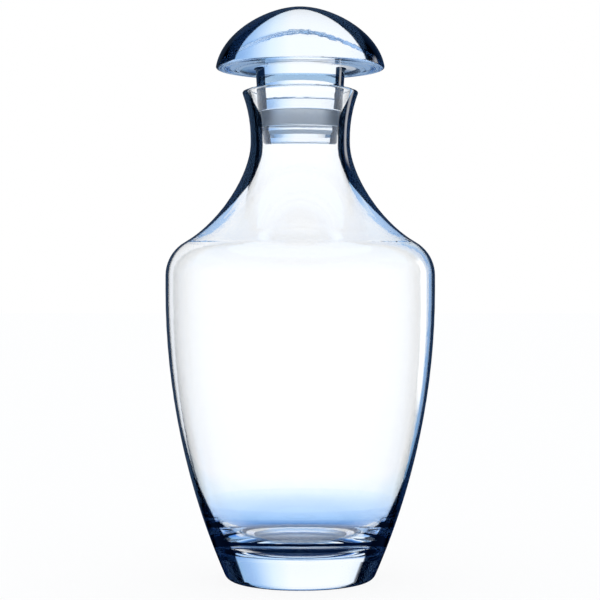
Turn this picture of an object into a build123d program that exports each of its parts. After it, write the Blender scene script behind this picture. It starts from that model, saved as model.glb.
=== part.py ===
"""Round clear-glass decanter with a solid mushroom stopper and a soft seal ring.

Sizes are in millimetres. +Z is up, and the origin is the centre of the foot's underside.
Every piece is a solid of revolution about Z, so an outline is drawn on the XZ plane as
(radius, height) and turned once round.
"""
import os
from math import cos, radians, sin, sqrt

from build123d import *

# Body, outside: the heights stack up from the foot to the lip
belly_radius = 51.2         # widest place
flank_height = 110.0        # foot to the top of the flank's arc
flank_radius = 270.0        # the flank's long arc, upright at its top
band_height = 5.6           # upright band between the flank and the shoulder
shoulder_radius = 14.5      # arc that turns the side in towards the neck
shoulder_turn = 60.0        # degrees turned by that arc
neck_radius = 18.9          # narrowest place
neck_rise = 38.2            # shoulder's end to the narrowest place
slope_reach = 15.3          # how far the slope keeps the shoulder's direction
neck_reach = 12.4           # how far the slope comes upright under the neck
lip_overhang = 3.3          # by which the lip's outer edge stands out past the narrowest place
lip_rise = 20.1             # narrowest place to the top of the lip
lip_flare = 21.0            # degrees that the wall leans out at the lip
lip_reach = 9.0             # how far the wall keeps that lean under the lip
flare_reach = 4.0           # how far it stays upright over the narrowest place
lip_rounding = 0.7

# Foot
heel_rounding = 3.8         # between the flank and the foot
foot_ring_width = 3.5       # flat ring that the body stands on
punt_depth = 0.9            # shallow hollow inside that ring

# Body, inside
belly_wall = 2.2            # flank, belly and shoulder
neck_wall = 3.5             # at the bore's narrowest place
lip_wall = 2.9
floor_thickness = 13.0      # glass under the middle of the cavity
bowl_radius = 26.3          # a place on the cavity's rounded floor
bowl_rise = 2.2             # height of that place over the floor's middle
bowl_height = 17.5          # floor's middle to where the flank's wall starts
bore_drop = 4.0             # narrowest place of the neck down to that of the bore

# Seal ring
seal_height = 6.0
seal_wall = 1.8
seal_taper = 0.1            # by which its outside is narrower at the top
seal_drop = 14.8            # top of the lip down to the ring's lower edge
seal_rounding = 0.35

# Stopper
shank_taper = 1.0           # by which the shank is wider at the head than at the groove
shank_rise = 7.8            # top of the lip up to the head's underside
shank_fillet = 0.8
bead_width = 0.9            # by which the bead stands out of the groove
bead_height = 1.9
bead_slope = 1.6            # height of the cone under the bead
plug_taper = 1.2            # bead to the plug's lower edge
plug_height = 3.8           # bead's cone down to the plug's underside
plug_rounding = 1.2
head_radius = 32.2          # rim's corner, before it is rounded
head_height = 23.5          # underside to the top of the head
rim_rounding = 0.7
rim_lean = -7.0             # degrees that the dome leans at the rim
rim_reach = 13.5            # how far the dome keeps that lean
crown_reach = 12.5          # how far the dome's top keeps level

# Fits
seal_neck_gap = 0.10        # seal ring's lower edge to the neck
seal_groove_gap = 0.05      # seal ring to the groove, all round
edge_break = 0.3            # rounding of the groove's outer corners

# Worked out from the sizes above
shoulder_centre = Vector(belly_radius - shoulder_radius, flank_height + band_height)
flank_centre = Vector(belly_radius - flank_radius, flank_height)
shoulder_end_height = shoulder_centre.Y + shoulder_radius * sin(radians(shoulder_turn))
neck_height = shoulder_end_height + neck_rise
body_height = neck_height + lip_rise
seal_bottom = body_height - seal_drop
seal_outer_radius = neck_radius - lip_wall + seal_taper
seal_inner_radius = seal_outer_radius - seal_wall
lip_radius = neck_radius + lip_overhang
shank_foot_radius = seal_outer_radius - seal_taper
underside_height = body_height + shank_rise


def lean(angle):
    """Unit direction that leans outwards from upright by an angle in degrees."""
    return Vector(sin(radians(angle)), cos(radians(angle)))


def turned(outline, name):
    """Solid made by turning a closed (radius, height) outline about Z, with its node name."""
    solid = revolve(Plane.XZ * outline, Axis.Z)
    solid.label = name
    return solid


def flank_point(height, wall):
    """Point of the flank's arc at a height, set in from the outside by the wall."""
    radius = flank_radius - wall
    drop = flank_height - height
    return Vector(flank_centre.X + sqrt(radius**2 - drop**2), height)


def flank_lean(height, wall):
    """Upward direction of the flank's arc at a height."""
    out = (flank_point(height, wall) - flank_centre).normalized()
    return Vector(-out.Y, out.X)


def sweep(start, start_lean, start_reach, end, end_lean, end_reach):
    """Smooth curve that leaves its start and comes to its end at the leans given."""
    start, end = Vector(*start), Vector(*end)
    return Bezier(start, start + lean(start_lean) * start_reach, end - lean(end_lean) * end_reach, end)


def side(start_height, wall, top_wall, top_drop):
    """Flank, band, shoulder and slope up to the narrowest place, set in by the walls given."""
    start = flank_point(start_height, wall)
    belly_x = belly_radius - wall
    reach = shoulder_radius - wall
    shoulder_end = shoulder_centre + Vector(cos(radians(shoulder_turn)), sin(radians(shoulder_turn))) * reach
    flank = TangentArc(start, (belly_x, flank_height), tangent=flank_lean(start_height, wall))
    band = Line((belly_x, flank_height), (belly_x, shoulder_centre.Y))
    shoulder = TangentArc((belly_x, shoulder_centre.Y), shoulder_end, tangent=(0, 1))
    narrowest = (neck_radius - top_wall, neck_height - top_drop)
    slope = sweep(shoulder_end, -shoulder_turn, slope_reach, narrowest, 0, neck_reach)
    return flank + band + shoulder + slope


def decanter_body():
    """One-piece glass body: thick foot, thin wall, narrow neck and flared lip."""
    lip_outer = (lip_radius, body_height - lip_wall * sin(radians(lip_flare)))
    lip_inner = (lip_radius - lip_wall * cos(radians(lip_flare)), body_height)
    seat = (seal_outer_radius + seal_neck_gap, seal_bottom)
    foot_corner = flank_point(0, 0)
    punt_edge = (foot_corner.X - heel_rounding - foot_ring_width, 0)
    floor = (0, floor_thickness)
    bowl_top = flank_point(floor_thickness + bowl_height, belly_wall)
    bore = (neck_radius - neck_wall, neck_height - bore_drop)

    outside = side(0, 0, 0, 0)
    outer_flare = sweep((neck_radius, neck_height), 0, flare_reach, lip_outer, lip_flare, lip_reach)
    lip = Line(lip_outer, lip_inner)
    inner_flare = Spline(bore, seat, lip_inner, tangents=((0, 1), lean(lip_flare)))
    inside = side(bowl_top.Y, belly_wall, neck_wall, bore_drop)
    bowl = Spline(floor, (bowl_radius, floor_thickness + bowl_rise), bowl_top,
                  tangents=((1, 0), flank_lean(bowl_top.Y, belly_wall)))
    axis = Line(floor, (0, punt_depth))
    punt = ThreePointArc((0, punt_depth), *punt_side(punt_edge[0]))
    foot = Line(punt_edge, foot_corner)
    face = make_face(outside + outer_flare + lip + inner_flare + inside + bowl + axis + punt + foot)
    face = fillet(corners_at(face, lip_outer, lip_inner), lip_rounding)
    face = fillet(corners_at(face, foot_corner), heel_rounding)
    return turned(face, "decanter_body")


def punt_side(edge_radius):
    """Middle and outer end of the punt's shallow arc."""
    arc_radius = (edge_radius**2 + punt_depth**2) / (2 * punt_depth)
    middle = edge_radius / 2
    return (middle, punt_depth - arc_radius + sqrt(arc_radius**2 - middle**2)), (edge_radius, 0)


def corners_at(face, *points):
    """The face's corners that lie at the points given."""
    return [corner for corner in face.vertices()
            if any((corner.center() - Vector(*point)).length < 1e-4 for point in points)]


def stopper():
    """Solid glass stopper: domed head, tapering shank, seal groove, bead and plug."""
    groove_radius = seal_inner_radius - seal_groove_gap
    groove_top = seal_bottom + seal_height + seal_groove_gap
    groove_bottom = seal_bottom - seal_groove_gap
    bead_radius = groove_radius + bead_width
    cone_top = groove_bottom - bead_height
    cone_bottom = cone_top - bead_slope
    plug_bottom = cone_bottom - plug_height
    dome_top = underside_height + head_height

    rim = (head_radius, underside_height)
    shank_top = (shank_foot_radius + shank_taper, underside_height)
    shank_bottom = (shank_foot_radius, groove_top)
    plug_edge = (bead_radius - plug_taper, plug_bottom)
    side_line = Polyline(
        (0, dome_top), (0, plug_bottom), plug_edge, (groove_radius, cone_bottom),
        (bead_radius, cone_top), (bead_radius, groove_bottom), (groove_radius, groove_bottom),
        (groove_radius, groove_top), shank_bottom, shank_top, rim)
    dome = sweep(rim, rim_lean, rim_reach, (0, dome_top), -90, crown_reach)
    face = make_face(side_line + dome)
    face = fillet(corners_at(face, rim), rim_rounding)
    face = fillet(corners_at(face, shank_top), shank_fillet)
    face = fillet(corners_at(face, plug_edge), plug_rounding)
    face = fillet(corners_at(face, shank_bottom, (bead_radius, groove_bottom)), edge_break)
    return turned(face, "stopper")


def seal_ring():
    """Soft ring in the stopper's groove, a little wider at its lower edge."""
    top = seal_bottom + seal_height
    outer_top = (seal_outer_radius - seal_taper, top)
    outer_bottom = (seal_outer_radius, seal_bottom)
    face = make_face(Polyline((seal_inner_radius, seal_bottom), outer_bottom, outer_top,
                              (seal_inner_radius, top), close=True))
    face = fillet(corners_at(face, outer_top, outer_bottom), seal_rounding)
    return turned(face, "seal_ring")


os.makedirs("parts", exist_ok=True)
for piece in (decanter_body(), stopper(), seal_ring()):
    export_step(piece, f"parts/{piece.label}.step")
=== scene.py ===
"""Looks of a clear glass decanter with a solid domed stopper and a satin sealing ring.

Lengths are metres, angles are degrees. The object's front looks along -Y and the floor is z = 0.
The three CAD shapes stay as they are and get their materials here. A floor, the surroundings that
the glass shows and the camera are added. There are no lamps: the world and the floor give the light.
"""

import math

import bpy
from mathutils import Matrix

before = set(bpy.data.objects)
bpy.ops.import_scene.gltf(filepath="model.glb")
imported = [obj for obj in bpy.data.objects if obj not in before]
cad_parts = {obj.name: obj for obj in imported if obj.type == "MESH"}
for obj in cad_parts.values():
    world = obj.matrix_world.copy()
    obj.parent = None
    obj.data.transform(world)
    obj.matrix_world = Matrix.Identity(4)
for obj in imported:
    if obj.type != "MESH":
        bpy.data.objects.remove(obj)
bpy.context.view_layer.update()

WHITE = (1.0, 1.0, 1.0)

# ---------------------------------------------------------------- camera
CAMERA_DISTANCE = 0.640
CAMERA_HEIGHT = 0.1093
CAMERA_SIDE = -0.0001
CAMERA_LENS = 100.8         # millimetres, as the sensor's width is
CAMERA_SENSOR = 36.0
CAMERA_SHIFT_UP = -0.0133   # as a share of the picture
CAMERA_NEAR = 0.01          # nothing closer than this is drawn

# ---------------------------------------------------------------- glass
GLASS_INDEX = 1.52
GLASS_GLOSS = 0.35
TINT = (0.996, 0.999, 1.0)
DEPTH_COLOUR = (0.45, 0.72, 1.0)
DEPTH_DENSITY = 3.0         # per metre of glass
GLASS_WAVES = {"scale": 12.0, "detail": 1.5, "strength": 0.5, "height": 0.000004}
# Where the eye looks along the wall of the glass instead of through it, a navy painted shade is
# mixed into the glass's colour. The edges give, at each height, the share of the radius at which
# that starts: a thick wall starts it further in. In the solid stopper and in the seal it is the
# same all the way up.
PAINTED_EDGE_SHADE = (0.0002, 0.0009, 0.0035)
BODY_EDGES = (
    (0.000, 0.795),
    (0.014, 0.795),
    (0.024, 0.87),
    (0.040, 0.945),
    (0.060, 0.962),
    (0.125, 0.962),
    (0.132, 0.955),
    (0.1375, 0.94),
    (0.142, 0.90),
    (0.146, 0.865),
    (0.151, 0.80),
    (0.156, 0.775),
    (0.160, 0.75),
    (0.175, 0.75),
    (0.181, 0.84),
    (0.1865, 0.90),
)
STOPPER_EDGES = ((0.160, 0.79), (0.2178, 0.79))
EDGE_SOFTNESS = 0.018       # share of the radius over which the painted shade comes in
FACING_BLEND = 0.5          # at this, Layer Weight's facing is 1 minus the cosine of the angle
LEAST_LEVEL = 0.0001        # keeps a level surface out of a division by nothing

# ---------------------------------------------------------------- seal
SEAL_INDEX = 1.42
SEAL_ROUGHNESS = 0.34
SEAL_TRANSMISSION = 0.6
SEAL_GRAIN = {"scale": 900.0, "detail": 3.0, "strength": 0.35, "height": 0.00004}
SEAL_COLOURS = ((0.3, (0.88, 0.93, 0.99)), (0.7, (0.94, 0.97, 1.0)))
# Painted shade that darkens the seal where the eye looks along it; the edges and softness say where
# it comes in.
SEAL_PAINTED_SHADE = (0.02, 0.04, 0.08)
SEAL_EDGES = ((0.170, 0.45), (0.180, 0.45))
SEAL_SOFTNESS = 0.5

# ---------------------------------------------------------------- surroundings
# The eye sees plain white. The glass sees a tall bright panel behind the object that turns blue to
# the right, a navy gap on each side of it, and pale blue at the sides, in front and overhead.
# Bearings run from straight behind, positive towards +X. The panel narrows with height like an
# ellipse that closes at PANEL_TOP.
NAVY = (0.004, 0.012, 0.028)
SIDE_BLUE = (0.50, 0.68, 0.93)
PANEL_BEARINGS = (
    (-75, SIDE_BLUE),
    (-60, NAVY),
    (-41, NAVY),
    (-38.5, (0.86, 0.92, 1.0)),
    (-30, (0.97, 0.985, 1.0)),
    (-20, WHITE),
    (5, WHITE),
    (14, (0.80, 0.91, 1.0)),
    (25, (0.40, 0.60, 0.89)),
    (31, (0.30, 0.49, 0.81)),
    (43, (0.21, 0.42, 0.70)),
    (46.5, (0.16, 0.30, 0.45)),
    (48.5, NAVY),
    (62, NAVY),
    (77, SIDE_BLUE),
)
PANEL_HEIGHTS = ((-40, NAVY), (-25, WHITE), (34, WHITE), (44, (0.20, 0.32, 0.50)), (60, NAVY))
PANEL_TOP = 60.0
PANEL_STRENGTH = 1.12       # makes up for the light lost at the surfaces of the glass
LEAST_NARROWING = 0.02      # of the squared width, so that it never comes to nothing
OVERHEAD_FROM = 54.0
OVERHEAD_BLUE = (0.50, 0.74, 1.0)
# What the outside mirrors: the same surroundings, nearly dark, and a tall soft strip of light.
PANEL_MIRRORED = (0.03, 0.05, 0.09)
STRIP_BEARINGS = ((44, 0.0), (48, 1.0), (55, 1.0), (59, 0.0))
STRIP_HEIGHTS = ((-16, 0.0), (-11, 1.0), (16, 1.0), (22, 0.0))
STRIP_STRENGTH = 2.6
# Light through only the vessel's two thin walls crosses this many surfaces. For such light the
# panel goes all the way round, so that the belly stays clear from every side.
CLEAR_CROSSINGS = 4
COUNT_MARGIN = 0.5          # a count within this of another is the same count
ALL_ROUND = 360             # range of a bearing
UP_AND_DOWN = 180           # range of an angle upwards or downwards

# ---------------------------------------------------------------- floor
FLOOR_REACH = 8.0
FLOOR_COLOUR = (0.975, 0.98, 0.985)
FLOOR_GLOW = 0.9            # the share that is plain white to the eye; the rest is lit and shadowed
LEVEL_PARTS = (1, 1, 0)     # keeps a vector's X and Y
TYPICAL_HEIGHT = 0.1        # of the glass that mirrors the floor
# To the glass, the floor has a painted shade close by: its colour after each length of the light's
# last step.
FLOOR_NEAR_SHADE = (
    (0.00, (0.008, 0.022, 0.06)),
    (0.012, (0.10, 0.26, 0.60)),
    (0.03, (0.34, 0.56, 0.90)),
    (0.08, (0.50, 0.70, 0.98)),
    (0.20, (0.80, 0.92, 1.0)),
    (0.30, WHITE),
)

GLASS_BOUNCES = 64          # light turns many times inside thick glass


# ---------------------------------------------------------------- nodes
def node_tree(owner):
    """The emptied node tree of a material or a world."""
    owner.use_nodes = True
    owner.node_tree.nodes.clear()
    return owner.node_tree


def feed(tree, socket, value):
    """Gives a socket its value: another socket, a number, a vector or a colour."""
    if isinstance(value, bpy.types.NodeSocket):
        tree.links.new(value, socket)
    elif socket.type == "RGBA":
        socket.default_value = (*value, 1.0)
    else:
        socket.default_value = value


def add(tree, kind, inputs=None, **properties):
    """A node of that kind, with its properties set and its inputs fed."""
    node = tree.nodes.new(kind)
    for name, value in properties.items():
        setattr(node, name, value)
    for name, value in (inputs or {}).items():
        feed(tree, node.inputs[name], value)
    return node


def math_node(tree, operation, *values):
    """The result of a sum on numbers or sockets."""
    node = add(tree, "ShaderNodeMath", dict(enumerate(values)), operation=operation)
    return node.outputs["Value"]


def one_less(tree, value):
    """1 minus the value."""
    return math_node(tree, "SUBTRACT", 1.0, value)


def squared(tree, value):
    """The value times itself."""
    return math_node(tree, "MULTIPLY", value, value)


def vector_node(tree, operation, *values):
    """The node for a sum on vectors."""
    return add(tree, "ShaderNodeVectorMath", dict(enumerate(values)), operation=operation)


def parts_of(tree, vector):
    """The X, Y and Z of a vector."""
    return add(tree, "ShaderNodeSeparateXYZ", {"Vector": vector}).outputs


def mixed(tree, factor, a, b, blend="MIX"):
    """A mix of two colours, each a socket or a plain colour."""
    inputs = {"Factor": factor, "A": a, "B": b}
    return add(tree, "ShaderNodeMix", inputs, data_type="RGBA", blend_type=blend).outputs["Result"]


def ramp(tree, place, stops):
    """A ramp over (place, value or colour) stops, with places from 0 to 1."""
    node = add(tree, "ShaderNodeValToRGB", {"Fac": place})
    elements = node.color_ramp.elements
    while len(elements) > 1:
        elements.remove(elements[-1])
    for i, (position, value) in enumerate(stops):
        stop = elements[0] if i == 0 else elements.new(position)
        stop.position = position
        colour = value if isinstance(value, tuple) else (value,) * 3
        stop.color = (*colour, 1.0)
    return node.outputs["Color"]


def length_ramp(tree, length, stops):
    """A ramp over (metres, value or colour) stops, counted from 0."""
    far = stops[-1][0]
    shares = [(metres / far, value) for metres, value in stops]
    return ramp(tree, math_node(tree, "DIVIDE", length, far), shares)


def angle_ramp(tree, angle, stops, whole):
    """A ramp over (degrees, value or colour) stops; whole is the range of the angle in degrees."""
    place = math_node(tree, "MULTIPLY_ADD", angle, 1 / math.radians(whole), 0.5)
    return ramp(tree, place, [(degrees / whole + 0.5, value) for degrees, value in stops])


# ---------------------------------------------------------------- materials
def relief(tree, place, scale, detail, strength, height):
    """A noise over the surface: its value, and the normal of the small bumps that it makes."""
    noise_inputs = {"Vector": place.outputs["Object"], "Scale": scale, "Detail": detail}
    noise = add(tree, "ShaderNodeTexNoise", noise_inputs).outputs["Fac"]
    bump_inputs = {"Height": noise, "Strength": strength, "Distance": height}
    return noise, add(tree, "ShaderNodeBump", bump_inputs).outputs["Normal"]


def edge_shade_mask(tree, place, edges, softness):
    """How far the eye looks along an outside wall, from 0 to 1, whatever side it stands on: the mask
    of the painted edge shade.

    The angle between a level ray and an upright wall that turns about Z gives the share of the
    radius at which the ray passes the axis.
    """
    where = parts_of(tree, place.outputs["Object"])
    normal = parts_of(tree, place.outputs["Normal"])
    weight = add(tree, "ShaderNodeLayerWeight", {"Blend": FACING_BLEND})
    toward_eye = one_less(tree, weight.outputs["Facing"])
    level = one_less(tree, squared(tree, normal["Z"]))
    level = math_node(tree, "SQRT", math_node(tree, "MAXIMUM", level, LEAST_LEVEL))
    cosine = math_node(tree, "MINIMUM", math_node(tree, "DIVIDE", toward_eye, level), 1.0)
    share = math_node(tree, "SQRT", one_less(tree, squared(tree, cosine)))
    past_start = math_node(tree, "SUBTRACT", share, length_ramp(tree, where["Z"], edges))
    shade_inputs = {"Value": past_start, "From Max": softness}
    shade = add(tree, "ShaderNodeMapRange", shade_inputs, interpolation_type="SMOOTHSTEP")

    out_x = math_node(tree, "MULTIPLY", where["X"], normal["X"])
    out_y = math_node(tree, "MULTIPLY", where["Y"], normal["Y"])
    outside = math_node(tree, "GREATER_THAN", math_node(tree, "ADD", out_x, out_y), 0.0)
    front = one_less(tree, add(tree, "ShaderNodeNewGeometry").outputs["Backfacing"])
    seen = math_node(tree, "MULTIPLY", outside, front)
    return math_node(tree, "MULTIPLY", seen, shade.outputs["Result"])


def clear_glass(name, edges):
    """Clear, faintly wavy glass with a deep blue painted shade where it is seen edge on."""
    material = bpy.data.materials.new(name)
    tree = node_tree(material)
    place = add(tree, "ShaderNodeTexCoord")
    edge_shade = edge_shade_mask(tree, place, edges, EDGE_SOFTNESS)
    _, waves = relief(tree, place, **GLASS_WAVES)
    glass = add(tree, "ShaderNodeBsdfPrincipled", {
        "Base Color": mixed(tree, edge_shade, TINT, PAINTED_EDGE_SHADE),
        "Roughness": 0.0,
        "IOR": GLASS_INDEX,
        "Specular IOR Level": GLASS_GLOSS,
        "Transmission Weight": 1.0,
        "Normal": waves,
    })
    depth_inputs = {"Color": DEPTH_COLOUR, "Density": DEPTH_DENSITY}
    depth = add(tree, "ShaderNodeVolumeAbsorption", depth_inputs)
    surfaces = {"Surface": glass.outputs["BSDF"], "Volume": depth.outputs["Volume"]}
    add(tree, "ShaderNodeOutputMaterial", surfaces)
    return material


def satin_seal(name):
    """Frosted silicone, with a dark painted shade where the eye looks along it."""
    material = bpy.data.materials.new(name)
    tree = node_tree(material)
    place = add(tree, "ShaderNodeTexCoord")
    grain, bumps = relief(tree, place, **SEAL_GRAIN)
    edge_shade = edge_shade_mask(tree, place, SEAL_EDGES, SEAL_SOFTNESS)
    satin = add(tree, "ShaderNodeBsdfPrincipled", {
        "Base Color": mixed(tree, edge_shade, ramp(tree, grain, SEAL_COLOURS), SEAL_PAINTED_SHADE),
        "Roughness": SEAL_ROUGHNESS,
        "IOR": SEAL_INDEX,
        "Transmission Weight": SEAL_TRANSMISSION,
        "Normal": bumps,
    })
    add(tree, "ShaderNodeOutputMaterial", {"Surface": satin.outputs["BSDF"]})
    return material


def dress(node, material):
    """Gives a CAD node its finished material in every slot."""
    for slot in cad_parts[node].material_slots:
        slot.material = material


# ---------------------------------------------------------------- rays
def seen_by(tree, path, *kinds):
    """1 for a ray of any of those kinds."""
    found = path.outputs[f"Is {kinds[0]} Ray"]
    for kind in kinds[1:]:
        found = math_node(tree, "MAXIMUM", found, path.outputs[f"Is {kind} Ray"])
    return found


def mirrored_ray(tree, path):
    """1 for a ray that left a surface as a mirror image; refracted rays count as glossy too."""
    glossy, through = path.outputs["Is Glossy Ray"], path.outputs["Is Transmission Ray"]
    return math_node(tree, "MAXIMUM", math_node(tree, "SUBTRACT", glossy, through), 0.0)


def thin_walled_ray(tree, path):
    """1 for a ray that has crossed as many surfaces as the vessel's two thin walls have."""
    crossed = path.outputs["Transmission Depth"]
    return math_node(tree, "COMPARE", crossed, CLEAR_CROSSINGS, COUNT_MARGIN)


# ---------------------------------------------------------------- surroundings
def direction_angles(tree, direction):
    """The bearing of a direction from straight behind the object, and its angle upwards."""
    unit = vector_node(tree, "NORMALIZE", direction)
    axes = parts_of(tree, unit.outputs["Vector"])
    upwards = math_node(tree, "ARCSINE", axes["Z"])
    bearing = math_node(tree, "ARCTAN2", axes["X"], axes["Y"])
    return bearing, upwards


def panel_across(tree, bearing, upwards):
    """The colour of the panel, and of what stands beside it, at a bearing."""
    share = math_node(tree, "DIVIDE", upwards, math.radians(PANEL_TOP))
    left_over = math_node(tree, "MAXIMUM", one_less(tree, squared(tree, share)), LEAST_NARROWING)
    widened = math_node(tree, "DIVIDE", bearing, math_node(tree, "SQRT", left_over))
    return angle_ramp(tree, widened, PANEL_BEARINGS, ALL_ROUND)


def mirrored_room(tree, panel, bearing, upwards):
    """What a mirror sees: a trace of the panel's colour, and the strip of light."""
    trace = mixed(tree, 1.0, panel, PANEL_MIRRORED, "MULTIPLY")
    across = angle_ramp(tree, bearing, STRIP_BEARINGS, ALL_ROUND)
    upright = angle_ramp(tree, upwards, STRIP_HEIGHTS, UP_AND_DOWN)
    strip = math_node(tree, "MULTIPLY", across, upright)
    strip = math_node(tree, "MULTIPLY", strip, STRIP_STRENGTH)
    return vector_node(tree, "ADD", strip, trace).outputs["Vector"]


def studio():
    """The world: plain white to the eye, and a panel with blue about it to the glass."""
    world = bpy.data.worlds.new("studio")
    bpy.context.scene.world = world
    tree = node_tree(world)
    path = add(tree, "ShaderNodeLightPath")
    direction = add(tree, "ShaderNodeTexCoord").outputs["Generated"]
    bearing, upwards = direction_angles(tree, direction)

    upright = angle_ramp(tree, upwards, PANEL_HEIGHTS, UP_AND_DOWN)
    sided = mixed(tree, 1.0, panel_across(tree, bearing, upwards), upright, "MULTIPLY")
    room = mixed(tree, thin_walled_ray(tree, path), sided, upright)
    overhead = math_node(tree, "GREATER_THAN", upwards, math.radians(OVERHEAD_FROM))
    room = mixed(tree, overhead, room, OVERHEAD_BLUE)
    mirrored = mirrored_room(tree, room, bearing, upwards)
    room = mixed(tree, mirrored_ray(tree, path), room, mirrored)

    plain = seen_by(tree, path, "Camera", "Diffuse")
    background = add(tree, "ShaderNodeBackground", {
        "Color": mixed(tree, plain, room, WHITE),
        "Strength": math_node(tree, "MULTIPLY_ADD", plain, 1.0 - PANEL_STRENGTH, PANEL_STRENGTH),
    })
    add(tree, "ShaderNodeOutputWorld", {"Surface": background.outputs["Background"]})


# ---------------------------------------------------------------- floor
def floor_to_glass(tree, path):
    """The floor's colour as the glass refracts or mirrors it."""
    position = add(tree, "ShaderNodeNewGeometry").outputs["Position"]
    flat = vector_node(tree, "MULTIPLY", position, LEVEL_PARTS).outputs["Vector"]
    bearing, level = direction_angles(tree, flat)
    # painted shade on the floor, darkest next to the object
    depth = length_ramp(tree, path.outputs["Ray Length"], FLOOR_NEAR_SHADE)
    sided = mixed(tree, 1.0, panel_across(tree, bearing, level), depth, "MULTIPLY")
    refracted = mixed(tree, thin_walled_ray(tree, path), sided, depth)
    away = vector_node(tree, "LENGTH", flat).outputs["Value"]
    downwards = math_node(tree, "ARCTAN2", -TYPICAL_HEIGHT, away)
    # the strip of light is painted onto the floor here, for the glass to mirror
    mirrored = mirrored_room(tree, refracted, bearing, downwards)
    return mixed(tree, mirrored_ray(tree, path), refracted, mirrored)


def floor_material():
    """Pale matt floor that keeps a faint shadow, and runs into the white behind it."""
    material = bpy.data.materials.new("floor")
    tree = node_tree(material)
    path = add(tree, "ShaderNodeLightPath")
    by_eye = path.outputs["Is Camera Ray"]
    by_glass = seen_by(tree, path, "Glossy", "Transmission")
    matt = add(tree, "ShaderNodeBsdfDiffuse", {"Color": FLOOR_COLOUR})
    glow = add(tree, "ShaderNodeEmission", {
        "Color": mixed(tree, by_eye, floor_to_glass(tree, path), WHITE),
        "Strength": math_node(tree, "MULTIPLY_ADD", by_glass, PANEL_STRENGTH - 1.0, 1.0),
    })
    share = math_node(tree, "MAXIMUM", by_glass, math_node(tree, "MULTIPLY", by_eye, FLOOR_GLOW))
    halves = {"Fac": share, 1: matt.outputs["BSDF"], 2: glow.outputs["Emission"]}
    mix = add(tree, "ShaderNodeMixShader", halves)
    add(tree, "ShaderNodeOutputMaterial", {"Surface": mix.outputs["Shader"]})
    return material


def floor():
    """A wide level square under the object."""
    mesh = bpy.data.meshes.new("floor")
    reach = FLOOR_REACH
    corners = [(-reach, -reach, 0), (reach, -reach, 0), (reach, reach, 0), (-reach, reach, 0)]
    mesh.from_pydata(corners, [], [(0, 1, 2, 3)])
    mesh.materials.append(floor_material())
    thing = bpy.data.objects.new("floor", mesh)
    bpy.context.scene.collection.objects.link(thing)


# ---------------------------------------------------------------- camera
def camera():
    """A level camera in front of the object."""
    eye = bpy.data.cameras.new("camera")
    eye.lens = CAMERA_LENS
    eye.sensor_width = CAMERA_SENSOR
    eye.shift_y = CAMERA_SHIFT_UP
    eye.clip_start = CAMERA_NEAR
    thing = bpy.data.objects.new("camera", eye)
    thing.location = (CAMERA_SIDE, -CAMERA_DISTANCE, CAMERA_HEIGHT)
    thing.rotation_euler = (math.radians(90), 0, 0)
    bpy.context.scene.collection.objects.link(thing)
    bpy.context.scene.camera = thing


# ---------------------------------------------------------------- the scene
dress("decanter_body", clear_glass("body_glass", BODY_EDGES))
dress("stopper", clear_glass("stopper_glass", STOPPER_EDGES))
dress("seal_ring", satin_seal("seal_satin"))
studio()
floor()
camera()

scene = bpy.context.scene
scene.view_settings.view_transform = "Standard"
scene.cycles.max_bounces = GLASS_BOUNCES
scene.cycles.glossy_bounces = GLASS_BOUNCES
scene.cycles.transmission_bounces = GLASS_BOUNCES
scene.cycles.use_denoising = True
